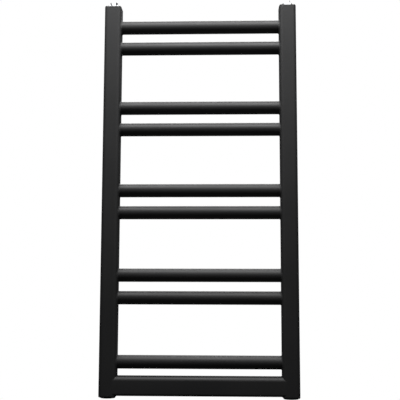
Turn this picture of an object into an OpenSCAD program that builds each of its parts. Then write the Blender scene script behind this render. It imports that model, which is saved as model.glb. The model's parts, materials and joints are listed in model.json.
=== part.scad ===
// Wall-hung ladder towel warmer: two hollow rails, nine round bars, a flush lower tube,
// a blanking plug, a manual air vent and four tubular wall brackets. Millimetres.
// The wall is the plane Y = 0, the rack faces -Y, +Z is up, and the origin is the
// middle of the four wall screws.

/* [Rack] */
// Width over both rails
overall_w = 400; // [340:5:600]
// Height over the end caps
rack_h = 804; // [790:2:900]
// Gap between the wall and the rear of the rails
stand_off = 40; // [36:1:70]

/* [Rails] */
// Width of a rail across its front face
rail_w = 35; // [34:1:40]
// Depth of a rail from front to rear
rail_d = 36; // [35:1:42]
// Outer edge radius of the rails and the lower tube
edge_r = 8; // [4:0.5:9]
// Wall thickness of the rails and the lower tube
rail_wall = 1.5; // [1.2:0.1:2]
// Thickness of the end caps
cap_t = 4; // [3.6:0.2:6]
// Rounding of the end caps' outer edge
cap_r = 3; // [1:0.5:3.5]

/* [Bars] */
// Diameter of a round bar
bar_dia = 27; // [20:0.5:28]
// Wall thickness of a round bar
bar_wall = 1.2; // [1:0.1:2]
// Height of the top bar's axis above the foot of the rails
top_bar_z = 760.5; // [750:0.5:762]
// Rise from one pair of bars to the next
pair_pitch = 173; // [160:0.5:173.5]
// Spacing of the two bars of a pair
pair_gap = 45.5; // [34:0.5:55]
// How far a bar reaches past the inside of the rail's wall
bar_entry = 2; // [0.5:0.5:4]

/* [Lower tube] */
// Height of the lower tube
lower_h = 38; // [30:1:39]
// Rounding of the lower tube's upper edges
lower_r = 9; // [4:0.5:11]
// Rounding of the lower tube's under edges
under_r = 5; // [3:0.5:8]
// Foot of the lower tube above the foot of the rails
lower_foot = 3; // [2:0.5:5]

/* [Ports] */
// Radius of a port's bore, inside its thread
port_r = 9.3; // [9:0.1:9.5]
// Length of a port's socket
port_len = 16; // [12:1:20]
// How far the lower sockets' collars stand below the caps
collar_t = 2.2; // [1:0.2:6]

/* [Brackets] */
// Height between the upper and the lower brackets
bracket_spacing = 600; // [500:10:640]
// Outer radius of a bracket's sleeve
sleeve_r = 11; // [10.5:0.5:12]
// Radius of the wall screw's hole
wall_hole_r = 2.75; // [2.25:0.25:3]

/* [Hidden] */
$fn = 64;
// Gap left round pieces that are fixed into each other
seat = 0.05;
// Length by which a cut runs past the face that it opens
cut = 1;

rail_x = (overall_w - rail_w) / 2;
rail_y = -(stand_off + rail_d / 2);
rear_y = -stand_off;
foot_z = -rack_h / 2;
head_z = rack_h / 2;
inner_x = overall_w / 2 - rail_w;
bar_r = bar_dia / 2;
pair_z = foot_z + top_bar_z;
lower_z = foot_z + lower_foot + lower_h / 2;
lower_duct_r = 11;

socket_r = 13;
collar_r = 14.75;
washer_t = 1.5;
washer_in = 9.6;
washer_out = 12;
shank_gap = 0.1;
shank_len = 11;
flange_t = 3;
flange_z = head_z + washer_t;

plug_af = 14;
plug_h = 6.5;
plug_key_af = 8;
plug_key_deep = 9;

vent_af = 24;
vent_top = 14;
neck_r = 4.5;
lip_r = 5.1;
lip_t = 0.8;
groove_z = 2.2;
ring_r = 0.6;
outlet_foot = 4.8;
outlet_rim = 12.8;
outlet_wide = 8.2;
outlet_step = 7;
outlet_narrow = 6;
spout_z = 8.4;
spout_r = 2;
spout_bore = 0.9;
spout_len = 12;
screw_r = 2.4;
screw_gap = 0.05;
screw_head_r = 3.8;
screw_head_t = 3;
screw_tip_z = -7;
slot_w = 1.2;
slot_deep = 1.4;

base_t = 3;
sleeve_in = 9;
spigot_r = 8.9;
spigot_end = 16;
screw_head_seat = 9;
screw_bore_r = 5.5;
grub_y = -11;
grub_r = 2;
grub_groove_r = 6.8;
grub_groove_w = 4.6;
sleeve_end_t = 4;
rail_screw_r = 2.9;
rail_screw_head_r = 5;
rail_screw_head_t = 5;
rail_screw_reach = 11;
boss_r = 6;
boss_len = 16;
boss_bore_r = 3;
boss_bore_len = 14;

steel_black = [0.07, 0.07, 0.075];
chrome = [0.78, 0.79, 0.8];
zinc = [0.62, 0.63, 0.64];
seal = [0.1, 0.1, 0.1];
white_plastic = [0.86, 0.86, 0.85];

// Height of bar n, counted from the top: pairs, then one bar over the lower tube.
function bar_z(n) = pair_z - floor((n - 1) / 2) * pair_pitch - ((n - 1) % 2) * pair_gap;

// Height of the brackets: level is 1 for the upper two and -1 for the lower two.
function bracket_z(level) = level * bracket_spacing / 2;

// A rectangle with round corners, centred.
module rounded_rectangle(w, h, r) {
    square([w - 2 * r, h], center = true);
    square([w, h - 2 * r], center = true);
    for (x = [-1, 1], y = [-1, 1])
        translate([x * (w / 2 - r), y * (h / 2 - r)]) circle(r = r);
}

// A cylinder that runs along Y from y1 to y2.
module rod_y(r, y1, y2) {
    translate([0, max(y1, y2), 0]) rotate([90, 0, 0]) cylinder(r = r, h = abs(y2 - y1));
}

// A cylinder centred on X.
module rod_x(r, length) {
    rotate([0, 90, 0]) cylinder(r = r, h = length, center = true);
}

// One hollow rail; side is -1 for the left one and 1 for the right one.
module rail(side) {
    color(steel_black) translate([side * rail_x, rail_y, 0]) difference() {
        translate([0, 0, foot_z + cap_t]) linear_extrude(rack_h - 2 * cap_t)
            difference() {
                rounded_rectangle(rail_w, rail_d, edge_r);
                rounded_rectangle(rail_w - 2 * rail_wall, rail_d - 2 * rail_wall,
                    edge_r - rail_wall);
            }
        for (n = [1 : 9])
            translate([-side * rail_w / 2, 0, bar_z(n)]) rod_x(bar_r + seat, 4 * rail_wall);
        translate([-side * rail_w / 2, 0, lower_z]) rod_x(lower_duct_r, 4 * rail_wall);
        for (level = [-1, 1])
            translate([0, rail_d / 2, bracket_z(level)])
                rod_y(boss_r + seat, -2 * rail_wall, 2 * rail_wall);
    }
}

module left_rail() {
    rail(-1);
}

module right_rail() {
    rail(1);
}

// The outer shape of a rail, solid.
module rail_envelope(side) {
    translate([side * rail_x, rail_y, foot_z]) linear_extrude(rack_h)
        rounded_rectangle(rail_w, rail_d, edge_r);
}

// A section of one radius at its upper corners and another at its lower ones.
module lower_section(width, height, top_r, foot_r) {
    intersection() {
        rounded_rectangle(width, height, top_r);
        translate([-width, 0]) square([2 * width, height]);
    }
    intersection() {
        rounded_rectangle(width, height, foot_r);
        translate([-width, -height]) square([2 * width, height]);
    }
}

// The lowest rung, a tube of the rails' depth. Its ends are coped to the rails' round
// edges, so that its front face runs on into theirs.
module lower_tube() {
    color(steel_black) difference() {
        translate([-inner_x - edge_r, rail_y, lower_z]) rotate([90, 0, 90])
            linear_extrude(2 * (inner_x + edge_r)) difference() {
                lower_section(rail_d, lower_h, lower_r, under_r);
                lower_section(rail_d - 2 * rail_wall, lower_h - 2 * rail_wall,
                    lower_r - rail_wall, under_r - rail_wall);
            }
        rail_envelope(-1);
        rail_envelope(1);
    }
}

// One round bar; its ends stand inside the rails.
module bar(n) {
    color(steel_black) translate([0, rail_y, bar_z(n)]) difference() {
        rod_x(bar_r, 2 * (inner_x + rail_wall + bar_entry));
        rod_x(bar_r - bar_wall, overall_w);
    }
}

module bar_1() {
    bar(1);
}

module bar_2() {
    bar(2);
}

module bar_3() {
    bar(3);
}

module bar_4() {
    bar(4);
}

module bar_5() {
    bar(5);
}

module bar_6() {
    bar(6);
}

module bar_7() {
    bar(7);
}

module bar_8() {
    bar(8);
}

module bar_9() {
    bar(9);
}

// The outline of an end cap seen from one side, flat below and rounded above.
module cap_profile(w) {
    square([w, cap_t - cap_r]);
    translate([cap_r, 0]) square([w - 2 * cap_r, cap_t]);
    for (x = [cap_r, w - cap_r])
        translate([x, cap_t - cap_r]) circle(r = cap_r);
}

// An end cap for the head of a rail, its edge rounded, with a hole for the socket.
module head_cap(hole_r) {
    difference() {
        intersection() {
            linear_extrude(cap_t) rounded_rectangle(rail_w, rail_d, edge_r);
            translate([-rail_w / 2, rail_d / 2, 0]) rotate([90, 0, 0])
                linear_extrude(rail_d) cap_profile(rail_w);
            translate([-rail_w / 2, -rail_d / 2, 0]) rotate([90, 0, 90])
                linear_extrude(rail_w) cap_profile(rail_d);
        }
        translate([0, 0, -cut]) cylinder(r = hole_r, h = cap_t + 2 * cut);
    }
}

module top_cap(side) {
    color(steel_black) translate([side * rail_x, rail_y, head_z - cap_t])
        head_cap(socket_r + seat);
}

module foot_cap(side) {
    color(steel_black) translate([side * rail_x, rail_y, foot_z + cap_t])
        mirror([0, 0, 1]) head_cap(socket_r + seat);
}

module left_top_cap() {
    top_cap(-1);
}

module right_top_cap() {
    top_cap(1);
}

module left_foot_cap() {
    foot_cap(-1);
}

module right_foot_cap() {
    foot_cap(1);
}

// The threaded socket in a top cap, level with the cap's outer face.
module top_socket(side) {
    color(steel_black) translate([side * rail_x, rail_y, head_z - port_len])
        difference() {
            cylinder(r = socket_r, h = port_len);
            translate([0, 0, -cut]) cylinder(r = port_r, h = port_len + 2 * cut);
        }
}

// The threaded socket in a foot cap, with a collar that stands below the cap.
module foot_socket(side) {
    color(steel_black) translate([side * rail_x, rail_y, foot_z - collar_t])
        difference() {
            union() {
                cylinder(r = collar_r, h = collar_t);
                cylinder(r = socket_r, h = port_len);
            }
            translate([0, 0, -cut]) cylinder(r = port_r, h = port_len + 2 * cut);
        }
}

module left_top_socket() {
    top_socket(-1);
}

module right_top_socket() {
    top_socket(1);
}

module left_foot_socket() {
    foot_socket(-1);
}

module right_foot_socket() {
    foot_socket(1);
}

// A flat sealing washer on top of a rail.
module washer(side) {
    color(seal) translate([side * rail_x, rail_y, head_z]) difference() {
        cylinder(r = washer_out, h = washer_t);
        translate([0, 0, -cut]) cylinder(r = washer_in, h = washer_t + 2 * cut);
    }
}

module plug_washer() {
    washer(-1);
}

module vent_washer() {
    washer(1);
}

// The blanking plug: a screwed shank, a round flange and a hexagonal head with a key socket.
module blanking_plug() {
    color(chrome) translate([-rail_x, rail_y, flange_z]) difference() {
        union() {
            translate([0, 0, -shank_len]) cylinder(r = port_r - shank_gap, h = shank_len);
            cylinder(r = vent_af / 2, h = flange_t);
            cylinder(d = plug_af / cos(30), h = flange_t + plug_h, $fn = 6);
        }
        translate([0, 0, flange_t + plug_h - plug_key_deep])
            cylinder(d = plug_key_af / cos(30), h = plug_key_deep + cut, $fn = 6);
    }
}

// Everything of the vent is drawn from the cap's top face on the rail's axis.
module at_vent() {
    translate([rail_x, rail_y, head_z]) children();
}

// The vent's body: screwed shank, hexagonal flange, and a neck with a snap lip.
module vent_body() {
    color(chrome) at_vent() difference() {
        union() {
            translate([0, 0, washer_t - shank_len])
                cylinder(r = port_r - shank_gap, h = shank_len);
            translate([0, 0, washer_t])
                cylinder(d = vent_af / cos(30), h = flange_t, $fn = 6);
            translate([0, 0, washer_t]) cylinder(r = neck_r, h = vent_top - washer_t);
            translate([0, 0, vent_top - lip_t]) cylinder(r = lip_r, h = lip_t);
        }
        translate([0, 0, screw_tip_z]) cylinder(r = screw_r + screw_gap, h = vent_top - screw_tip_z + cut);
        translate([0, 0, -shank_len - cut]) cylinder(r = spout_bore, h = shank_len + cut);
        translate([0, 0, spout_z]) rod_y(spout_bore, 0, neck_r + cut);
    }
}

// The swivel collar that turns on the neck and throws the water out of its spout.
module vent_outlet() {
    color(white_plastic) at_vent() difference() {
        union() {
            rotate_extrude() polygon([[0, outlet_foot], [outlet_wide, outlet_foot],
                [outlet_wide, outlet_step], [outlet_narrow, outlet_rim], [0, outlet_rim]]);
            translate([0, 0, spout_z]) rod_y(spout_r, 0, spout_len);
        }
        translate([0, 0, outlet_foot - cut])
            cylinder(r = neck_r + screw_gap, h = outlet_rim - outlet_foot + 2 * cut);
        translate([0, 0, spout_z]) rod_y(spout_bore, 0, spout_len + cut);
    }
}

// The bleed screw: a slotted head over the lip and a grooved shank with a pointed tip.
module vent_screw() {
    head_foot = vent_top + 0.3;
    color(chrome) at_vent() difference() {
        union() {
            translate([0, 0, screw_tip_z + screw_r])
                cylinder(r = screw_r, h = head_foot - screw_tip_z - screw_r);
            translate([0, 0, screw_tip_z + 0.3])
                cylinder(r1 = 0.3, r2 = screw_r, h = screw_r - 0.3);
            translate([0, 0, head_foot]) cylinder(r = screw_head_r, h = screw_head_t);
        }
        translate([-screw_head_r - cut, -slot_w / 2, head_foot + screw_head_t - slot_deep])
            cube([2 * (screw_head_r + cut), slot_w, slot_deep + cut]);
        translate([0, 0, groove_z]) rotate_extrude()
            translate([screw_r, 0]) circle(r = ring_r + seat);
    }
}

// The rubber ring in the bleed screw's groove.
module vent_screw_ring() {
    color(seal) at_vent() translate([0, 0, groove_z]) intersection() {
        rotate_extrude() translate([screw_r, 0]) circle(r = ring_r);
        cylinder(r = screw_r + screw_gap / 2, h = 4 * ring_r, center = true);
    }
}

// Everything of a bracket is drawn from its wall screw.
module at_bracket(side, level) {
    translate([side * rail_x, 0, bracket_z(level)]) children();
}

// The base that is screwed to the wall: a flange and a spigot with a grub groove.
module base(side, level) {
    color(zinc) at_bracket(side, level) difference() {
        union() {
            rod_y(sleeve_r, -base_t, 0);
            rod_y(spigot_r, -spigot_end, 0);
        }
        rod_y(wall_hole_r, -spigot_end - cut, cut);
        rod_y(screw_bore_r, -spigot_end - cut, -screw_head_seat);
        difference() {
            rod_y(spigot_r + cut, grub_y - grub_groove_w / 2, grub_y + grub_groove_w / 2);
            rod_y(grub_groove_r, -spigot_end, 0);
        }
    }
}

module upper_left_base() {
    base(-1, 1);
}

module upper_right_base() {
    base(1, 1);
}

module lower_left_base() {
    base(-1, -1);
}

module lower_right_base() {
    base(1, -1);
}

// The sleeve that slides over the base and carries the rail.
module sleeve(side, level) {
    color(steel_black) at_bracket(side, level) difference() {
        rod_y(sleeve_r, rear_y, -base_t);
        rod_y(sleeve_in, rear_y + sleeve_end_t, 0);
        rod_y(rail_screw_r + shank_gap, rear_y - cut, 0);
        translate([0, grub_y, -sleeve_r]) cylinder(r = grub_r + seat, h = sleeve_r);
    }
}

module upper_left_sleeve() {
    sleeve(-1, 1);
}

module upper_right_sleeve() {
    sleeve(1, 1);
}

module lower_left_sleeve() {
    sleeve(-1, -1);
}

module lower_right_sleeve() {
    sleeve(1, -1);
}

// The blind threaded boss in a rail's rear wall.
module boss(side, level) {
    color(steel_black) at_bracket(side, level) difference() {
        rod_y(boss_r, rear_y - boss_len, rear_y);
        rod_y(boss_bore_r, rear_y - boss_bore_len, rear_y + cut);
    }
}

module upper_left_boss() {
    boss(-1, 1);
}

module upper_right_boss() {
    boss(1, 1);
}

module lower_left_boss() {
    boss(-1, -1);
}

module lower_right_boss() {
    boss(1, -1);
}

// The four socket-headed screws that hold the sleeves to the rails.
module rail_screws() {
    seat_y = rear_y + sleeve_end_t;
    color(zinc) for (side = [-1, 1], level = [-1, 1])
        at_bracket(side, level) difference() {
            union() {
                rod_y(rail_screw_r, seat_y - sleeve_end_t - rail_screw_reach, seat_y);
                rod_y(rail_screw_head_r, seat_y, seat_y + rail_screw_head_t);
            }
            translate([0, seat_y + rail_screw_head_t + cut, 0]) rotate([90, 0, 0])
                cylinder(r = 2.9, h = 3 + cut, $fn = 6);
        }
}

// The four grub screws under the sleeves that clamp them on the bases.
module grub_screws() {
    color(zinc) for (side = [-1, 1], level = [-1, 1])
        at_bracket(side, level) translate([0, grub_y, -sleeve_r]) difference() {
            cylinder(r = grub_r, h = sleeve_r - grub_groove_r - seat);
            translate([0, 0, -cut]) cylinder(r = 1.15, h = 2 + cut, $fn = 6);
        }
}

left_rail();
right_rail();
lower_tube();
bar_1();
bar_2();
bar_3();
bar_4();
bar_5();
bar_6();
bar_7();
bar_8();
bar_9();
left_top_cap();
right_top_cap();
left_foot_cap();
right_foot_cap();
left_top_socket();
right_top_socket();
left_foot_socket();
right_foot_socket();
plug_washer();
blanking_plug();
vent_washer();
vent_body();
vent_outlet();
vent_screw();
vent_screw_ring();
upper_left_base();
upper_right_base();
lower_left_base();
lower_right_base();
upper_left_sleeve();
upper_right_sleeve();
lower_left_sleeve();
lower_right_sleeve();
upper_left_boss();
upper_right_boss();
lower_left_boss();
lower_right_boss();
rail_screws();
grub_screws();
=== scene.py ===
"""Looks of a ladder towel warmer in satin black powder coat, hung 0.8 m over a pale floor."""

import json
import math
import random

import bmesh
import bpy
from mathutils import Matrix, Vector


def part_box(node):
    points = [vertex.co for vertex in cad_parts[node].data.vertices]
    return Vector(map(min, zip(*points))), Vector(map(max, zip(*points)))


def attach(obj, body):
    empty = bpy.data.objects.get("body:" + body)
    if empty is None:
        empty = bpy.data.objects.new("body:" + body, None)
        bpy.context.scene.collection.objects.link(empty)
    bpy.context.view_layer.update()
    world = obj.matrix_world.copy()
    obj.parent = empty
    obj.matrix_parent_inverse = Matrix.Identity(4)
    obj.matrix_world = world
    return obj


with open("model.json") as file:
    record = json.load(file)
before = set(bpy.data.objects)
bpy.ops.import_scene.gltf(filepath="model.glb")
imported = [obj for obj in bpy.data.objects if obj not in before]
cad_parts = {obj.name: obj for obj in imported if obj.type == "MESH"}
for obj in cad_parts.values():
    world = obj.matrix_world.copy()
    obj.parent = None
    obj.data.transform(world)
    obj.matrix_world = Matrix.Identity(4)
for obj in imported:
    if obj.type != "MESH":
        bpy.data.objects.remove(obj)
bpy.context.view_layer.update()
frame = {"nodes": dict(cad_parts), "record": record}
random.seed(7)

MM = 0.001
BARS = [f"bar_{n}" for n in range(1, 10)]

# Design sizes that the welds and the threads follow.
RAIL_EDGE = 8 * MM  # rounding of the rails' long edges
LOWER_EDGE = 8.6 * MM  # from the lower tube's faces to its welds
PORT_BORE = 9.3 * MM  # radius
PIPE_PITCH = 1.814 * MM

# How much of each material's sharp edges is broken.
EDGE_BREAK = {
    "black_steel": 0.25 * MM,
    "chrome_plate": 0.2 * MM,
    "zinc_steel": 0.15 * MM,
    "rubber_seal": 0.1 * MM,
}


# ---------------------------------------------------------------- material helpers


class Shader:
    """A new material and short calls to wire its nodes."""

    def __init__(self, name):
        self.material = bpy.data.materials.new(name)
        self.material.use_nodes = True
        self.nodes = self.material.node_tree.nodes
        self.links = self.material.node_tree.links
        self.bsdf = self.nodes["Principled BSDF"]
        self.place = self.nodes.new("ShaderNodeTexCoord").outputs["Object"]

    def link(self, source, target):
        self.links.new(source, target)

    def noise(self, scale, detail=2.0, roughness=0.5, stretch=None):
        place = self.place
        if stretch:
            mapping = self.nodes.new("ShaderNodeMapping")
            mapping.inputs["Scale"].default_value = stretch
            self.link(place, mapping.inputs["Vector"])
            place = mapping.outputs["Vector"]
        node = self.nodes.new("ShaderNodeTexNoise")
        node.inputs["Scale"].default_value = scale
        node.inputs["Detail"].default_value = detail
        node.inputs["Roughness"].default_value = roughness
        self.link(place, node.inputs["Vector"])
        return node.outputs["Fac"]

    def ramp(self, value, low, high, at=(0.35, 0.65)):
        """value, taken from at[0]..at[1] to low..high, as a number."""
        node = self.nodes.new("ShaderNodeMapRange")
        node.inputs["From Min"].default_value = at[0]
        node.inputs["From Max"].default_value = at[1]
        node.inputs["To Min"].default_value = low
        node.inputs["To Max"].default_value = high
        self.link(value, node.inputs["Value"])
        return node.outputs["Result"]

    def mix(self, factor, one, other):
        """A colour between two; each is a colour or a socket."""
        node = self.nodes.new("ShaderNodeMix")
        node.data_type = "RGBA"
        self.link(factor, node.inputs["Factor"])
        for socket, value in (("A", one), ("B", other)):
            target = [i for i in node.inputs if i.name == socket and i.type == "RGBA"][0]
            if isinstance(value, bpy.types.NodeSocket):
                self.link(value, target)
            else:
                target.default_value = (*value, 1)
        return [o for o in node.outputs if o.type == "RGBA"][0]

    def add(self, one, other):
        node = self.nodes.new("ShaderNodeMath")
        node.operation = "ADD"
        self.link(one, node.inputs[0])
        if isinstance(other, bpy.types.NodeSocket):
            self.link(other, node.inputs[1])
        else:
            node.inputs[1].default_value = other
        return node.outputs[0]

    def edges(self, low=0.5, high=0.56):
        """1 on convex edges and 0 elsewhere, from the mesh's own pointiness."""
        geometry = self.nodes.new("ShaderNodeNewGeometry")
        return self.ramp(geometry.outputs["Pointiness"], 0, 1, (low, high))

    def bump(self, height, distance, strength=1.0, below=None):
        node = self.nodes.new("ShaderNodeBump")
        node.inputs["Strength"].default_value = strength
        node.inputs["Distance"].default_value = distance
        self.link(height, node.inputs["Height"])
        if below:
            self.link(below, node.inputs["Normal"])
        return node.outputs["Normal"]


def powder_coat():
    """Satin black powder coat: orange peel, fine grain and paint that thins on the edges."""
    s = Shader("black_powder_coat")
    peel = s.noise(420, 2)
    grain = s.noise(2600, 3, 0.6)
    cloud = s.noise(9, 3)
    tone = s.mix(s.ramp(cloud, 0, 1), (0.0075, 0.0075, 0.0078), (0.0105, 0.0105, 0.0108))
    tone = s.mix(s.ramp(grain, 0, 0.35), tone, (0.018, 0.018, 0.0185))
    tone = s.mix(s.ramp(s.edges(), 0, 0.5, (0, 1)), tone, (0.028, 0.028, 0.029))
    s.link(tone, s.bsdf.inputs["Base Color"])
    rough = s.add(s.ramp(cloud, 0.53, 0.59), s.ramp(grain, -0.03, 0.05))
    s.link(rough, s.bsdf.inputs["Roughness"])
    s.bsdf.inputs["IOR"].default_value = 1.5
    fine = s.bump(grain, 0.000012)
    s.link(s.bump(peel, 0.00003, below=fine), s.bsdf.inputs["Normal"])
    return s.material


def chrome_plate():
    """Polished chrome with faint wiping marks."""
    s = Shader("polished_chrome")
    wipe = s.noise(160, 3, stretch=(1, 1, 12))
    spots = s.noise(900, 2)
    s.bsdf.inputs["Metallic"].default_value = 1
    tone = s.mix(s.ramp(spots, 0, 1), (0.80, 0.81, 0.82), (0.70, 0.71, 0.73))
    s.link(tone, s.bsdf.inputs["Base Color"])
    rough = s.add(s.ramp(wipe, 0.05, 0.12), s.ramp(s.edges(), 0, 0.12, (0, 1)))
    s.link(rough, s.bsdf.inputs["Roughness"])
    s.link(s.bump(wipe, 0.000006), s.bsdf.inputs["Normal"])
    return s.material


def zinc_plate():
    """Bright zinc on turned steel: fine tool marks and a cloudy sheen."""
    s = Shader("bright_zinc")
    cloud = s.noise(220, 4)
    tool = s.noise(1800, 2, stretch=(1, 14, 1))
    s.bsdf.inputs["Metallic"].default_value = 1
    tone = s.mix(s.ramp(cloud, 0, 1), (0.50, 0.51, 0.52), (0.66, 0.66, 0.64))
    s.link(tone, s.bsdf.inputs["Base Color"])
    s.link(s.add(s.ramp(cloud, 0.24, 0.38), s.ramp(tool, 0, 0.08)), s.bsdf.inputs["Roughness"])
    s.link(s.bump(tool, 0.00001), s.bsdf.inputs["Normal"])
    return s.material


def moulded_rubber():
    """Black moulded rubber with a dull bloom."""
    s = Shader("black_rubber")
    bloom = s.noise(300, 4)
    tone = s.mix(s.ramp(bloom, 0, 1), (0.012, 0.012, 0.012), (0.03, 0.03, 0.031))
    s.link(tone, s.bsdf.inputs["Base Color"])
    s.link(s.ramp(bloom, 0.62, 0.8), s.bsdf.inputs["Roughness"])
    s.link(s.bump(s.noise(2200, 2), 0.00002), s.bsdf.inputs["Normal"])
    return s.material


MATERIALS = {
    "black_steel": powder_coat(),
    "chrome_plate": chrome_plate(),
    "zinc_steel": zinc_plate(),
    "rubber_seal": moulded_rubber(),
}


# ---------------------------------------------------------------- carried-over CAD nodes


def dress(node, slot):
    """Gives a CAD node its material, flat faces that stay flat and slightly broken edges."""
    obj = frame["nodes"][node]
    obj.data.materials.clear()
    obj.data.materials.append(MATERIALS[slot])
    obj.data.shade_smooth()
    weld = obj.modifiers.new("weld", "WELD")
    weld.merge_threshold = 0.00001
    bevel = obj.modifiers.new("broken_edge", "BEVEL")
    bevel.width = EDGE_BREAK[slot]
    bevel.segments = 2
    bevel.limit_method = "ANGLE"
    bevel.angle_limit = math.radians(40)
    split = obj.modifiers.new("split", "EDGE_SPLIT")
    split.split_angle = math.radians(34)
    obj.modifiers.new("flats", "WEIGHTED_NORMAL")


for part in frame["record"]["subparts"]:
    dress(part["node"], part["material_slot"])


# ---------------------------------------------------------------- modelled pieces


def piece(name, verts, faces, slot, smooth=40, body="rack"):
    """A closed mesh of this file's own, riding on a body."""
    mesh = bpy.data.meshes.new(name)
    mesh.from_pydata(verts, [], faces)
    shape = bmesh.new()
    shape.from_mesh(mesh)
    bmesh.ops.recalc_face_normals(shape, faces=shape.faces)
    shape.to_mesh(mesh)
    shape.free()
    mesh.shade_smooth()
    mesh.set_sharp_from_angle(angle=math.radians(smooth))
    mesh.materials.append(MATERIALS[slot])
    obj = bpy.data.objects.new(name, mesh)
    bpy.context.scene.collection.objects.link(obj)
    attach(obj, body)
    return obj


def joined(sections, count, closed=False):
    """Quads that join each section of count points to the next one."""
    faces = []
    for k in range(sections if closed else sections - 1):
        here, there = k * count, (k + 1) % sections * count
        for i in range(count):
            j = (i + 1) % count
            faces.append((here + i, here + j, there + j, there + i))
    return faces


def end_faces(sections, count):
    """The two flat ends of an open run of sections."""
    last = (sections - 1) * count
    return [tuple(range(count)), tuple(last + i for i in range(count))]


def concave(leg, steps):
    """Points of a hollow fillet from (leg, 0) on one surface to (0, leg) on the other."""
    return [
        (leg * (1 - math.sin(t)), leg * (1 - math.cos(t)))
        for t in (math.pi / 2 * i / steps for i in range(steps + 1))
    ]


RAIL_FRONT, RAIL_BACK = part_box("left_rail")[0].y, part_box("left_rail")[1].y


def rail_set_back(y):
    """How far the rail's side lies behind its flat at depth y, where its edges round off."""
    past = abs(y - (RAIL_FRONT + RAIL_BACK) / 2) - ((RAIL_BACK - RAIL_FRONT) / 2 - RAIL_EDGE)
    past = min(max(past, 0), RAIL_EDGE * 0.98)
    return RAIL_EDGE - math.sqrt(RAIL_EDGE**2 - past**2)


def bar_weld(node, side, leg=1.9 * MM, sunk=0.8 * MM, around=72):
    """A hollow, slightly rippled weld where a round bar enters a rail."""
    low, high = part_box(node)
    radius = (high.z - low.z) / 2
    y, z = (low.y + high.y) / 2, (low.z + high.z) / 2
    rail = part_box("right_rail" if side > 0 else "left_rail")
    wall = rail[0].x if side > 0 else rail[1].x
    phase = random.uniform(0, 6.28)
    verts = []
    for k in range(around):
        turn = 2 * math.pi * k / around
        ripple = 1 + 0.06 * math.sin(turn * 21 + phase) + random.uniform(-0.03, 0.03)
        profile = [(x * ripple, radius + r * ripple) for r, x in concave(leg, 6)]
        inside = radius - sunk / 2
        profile += [(-sunk, radius + leg * ripple), (-sunk, inside), (leg * ripple, inside)]
        for x, r in profile:
            across = y + r * math.sin(turn)
            out = x - rail_set_back(across)
            verts.append((wall - side * out, across, z + r * math.cos(turn)))
    faces = joined(around, len(profile), closed=True)
    return piece(f"weld_{node}_{'right' if side > 0 else 'left'}", verts, faces, "black_steel", 50)


def seam_weld(side, up, leg=1.7 * MM, sunk=0.6 * MM, steps=40):
    """The weld along the top or the underside of the lower tube, at one rail."""
    low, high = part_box("lower_tube")
    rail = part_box("right_rail" if side > 0 else "left_rail")
    wall = rail[0].x if side > 0 else rail[1].x
    level = high.z if up > 0 else low.z
    first, last = low.y + LOWER_EDGE, high.y - LOWER_EDGE
    phase = random.uniform(0, 6.28)
    verts = []
    for k in range(steps + 1):
        f = k / steps
        taper = min(1, 8 * f, 8 * (1 - f)) ** 0.5
        ripple = max(0.02, taper * (1 + 0.06 * math.sin(f * 60 + phase)))
        profile = [(x * ripple, r * ripple) for r, x in concave(leg, 6)]
        profile += [(-sunk, leg * ripple), (-sunk, -sunk), (leg * ripple, -sunk)]
        for x, r in profile:
            verts.append((wall - side * x, first + (last - first) * f, level + up * r))
    count = len(profile)
    faces = joined(steps + 1, count) + end_faces(steps + 1, count)
    name = f"weld_lower_tube_{'right' if side > 0 else 'left'}_{'top' if up > 0 else 'under'}"
    return piece(name, verts, faces, "black_steel", 50)


for bar in BARS:
    for end in (-1, 1):
        bar_weld(bar, end)
for end in (-1, 1):
    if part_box("lower_tube")[0].z - 1.7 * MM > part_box("left_foot_cap")[0].z:
        seam_weld(end, -1)
    seam_weld(end, 1)


def pipe_thread(node, depth=0.62 * MM, turns=6, around=48):
    """The ridges of a half-inch pipe thread inside a foot port, running out at its mouth."""
    low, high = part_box(node)
    x, y = (low.x + high.x) / 2, (low.y + high.y) / 2
    start = low.z + 1.6 * MM
    root = PORT_BORE + 0.2 * MM
    run_out = around * 0.6
    steps = around * turns
    verts = []
    for k in range(steps + 1):
        turn = 2 * math.pi * k / around
        run = min(1, k / run_out, (steps - k) / run_out)
        z = start + PIPE_PITCH * k / around
        crest = PORT_BORE - depth * max(run, 0.03)
        ridge = ((root, -0.8), (crest, -0.12), (crest, 0.12), (root, 0.8))
        for r, dz in ridge:
            verts.append((x + r * math.cos(turn), y + r * math.sin(turn), z + dz * PIPE_PITCH / 2))
    faces = joined(steps + 1, len(ridge)) + end_faces(steps + 1, len(ridge))
    return piece(f"thread_{node}", verts, faces, "zinc_steel", 30)


for socket in ("left_foot_socket", "right_foot_socket"):
    pipe_thread(socket)


# ---------------------------------------------------------------- stage, light, camera


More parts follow.
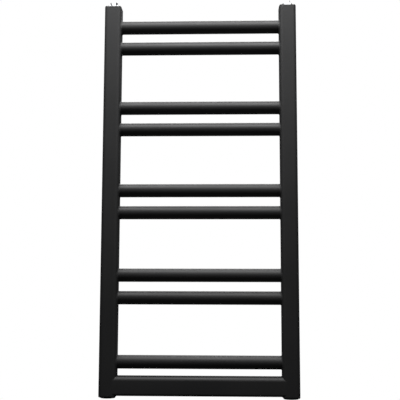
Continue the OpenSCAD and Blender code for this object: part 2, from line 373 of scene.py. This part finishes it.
def stage():
    """A pale floor well below the rack, which hangs on a wall that isn't shown."""
    floor_z, floor_radius = -1.2, 3.2
    fade = (0.9, 3.1)  # radii between which the floor turns to the white around it
    mesh = bpy.data.meshes.new("floor")
    shape = bmesh.new()
    bmesh.ops.create_circle(shape, cap_ends=True, segments=96, radius=floor_radius)
    shape.to_mesh(mesh)
    shape.free()
    floor = bpy.data.objects.new("floor", mesh)
    floor.location.z = floor_z
    bpy.context.scene.collection.objects.link(floor)
    s = Shader("pale_floor")
    reach = s.nodes.new("ShaderNodeVectorMath")
    reach.operation = "LENGTH"
    s.link(s.place, reach.inputs[0])
    rim = s.ramp(reach.outputs["Value"], 0, 1, fade)
    mottle = s.mix(s.ramp(s.noise(3, 3), 0, 1), (0.76, 0.76, 0.755), (0.80, 0.80, 0.80))
    s.link(s.mix(rim, mottle, (0.0, 0.0, 0.0)), s.bsdf.inputs["Base Color"])
    s.link(s.mix(rim, (0.52, 0.52, 0.515), (1.0, 1.0, 1.0)), s.bsdf.inputs["Emission Color"])
    s.bsdf.inputs["Emission Strength"].default_value = 1
    s.bsdf.inputs["Roughness"].default_value = 0.8
    s.bsdf.inputs["Specular IOR Level"].default_value = 0
    mesh.materials.append(s.material)
    floor.visible_diffuse = False
    floor.visible_glossy = False


def soft_light(name, place, aim, size, power):
    """A rectangular soft box at a place, turned to its aim."""
    data = bpy.data.lights.new(name, "AREA")
    data.shape = "RECTANGLE"
    data.size, data.size_y = size
    data.energy = power
    lamp = bpy.data.objects.new(name, data)
    bpy.context.scene.collection.objects.link(lamp)
    lamp.location = place
    lamp.rotation_euler = (Vector(aim) - Vector(place)).to_track_quat("-Z", "Y").to_euler()
    return lamp


def studio():
    """White to the eye. A broad soft box above lights the rack and another shows its back."""
    world = bpy.data.worlds.new("studio")
    bpy.context.scene.world = world
    world.use_nodes = True
    nodes, links = world.node_tree.nodes, world.node_tree.links
    nodes.clear()
    lit = nodes.new("ShaderNodeBackground")
    lit.inputs["Color"].default_value = (1, 1, 1, 1)
    lit.inputs["Strength"].default_value = 0.06
    seen = nodes.new("ShaderNodeBackground")
    seen.inputs["Color"].default_value = (1, 1, 1, 1)
    seen.inputs["Strength"].default_value = 1
    path = nodes.new("ShaderNodeLightPath")
    choose = nodes.new("ShaderNodeMixShader")
    links.new(path.outputs["Is Camera Ray"], choose.inputs[0])
    links.new(lit.outputs[0], choose.inputs[1])
    links.new(seen.outputs[0], choose.inputs[2])
    out = nodes.new("ShaderNodeOutputWorld")
    links.new(choose.outputs[0], out.inputs["Surface"])

    # The cards give the chrome and zinc something to reflect, and light nothing else.
    metal = bpy.data.collections.new("bright_metal")
    for part in frame["record"]["subparts"]:
        if part["material_slot"] in ("chrome_plate", "zinc_steel"):
            metal.objects.link(frame["nodes"][part["node"]])
    for name, place, size, power in (
        ("front_card", (0.2, -2.6, 0.7), (3.0, 2.4), 60),
        ("left_card", (-2.4, -0.4, 0.5), (1.6, 2.4), 30),
        ("right_card", (2.4, -0.4, 0.5), (1.6, 2.4), 30),
        ("rear_card", (0.0, 2.4, 0.5), (3.0, 2.0), 40),
    ):
        card = soft_light(name, place, (0, -0.058, 0.2), size, power)
        card.light_linking.receiver_collection = metal
    soft_light("overhead", (0.0, -0.42, 1.10), (0, -0.058, 0.1), (1.7, 0.7), 30)
    soft_light("behind", (0.0, 1.2, 1.5), (0, -0.058, 0), (1.8, 0.7), 18)


def camera():
    """A little right of centre and below it, turned up to the middle of the rack."""
    front_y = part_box("left_rail")[0].y
    foot_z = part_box("left_foot_cap")[0].z
    data = bpy.data.cameras.new("camera")
    data.sensor_width = 36
    data.lens = 70.95
    data.clip_start = 0.05
    eye = bpy.data.objects.new("camera", data)
    bpy.context.scene.collection.objects.link(eye)
    turn, tilt, roll = math.radians(1.916), math.radians(6.851), math.radians(-0.162)
    level = Matrix.Rotation(math.radians(90), 4, "X")
    aim = Matrix.Rotation(turn, 4, "Z") @ Matrix.Rotation(tilt, 4, "X")
    aim = aim @ Matrix.Rotation(roll, 4, "Y")
    place = Matrix.Translation(Vector((0.0543, front_y - 1.5852, foot_z + 0.2025)))
    eye.matrix_world = place @ aim @ level
    bpy.context.scene.camera = eye


stage()
studio()
camera()
bpy.context.scene.view_settings.view_transform = "Standard"
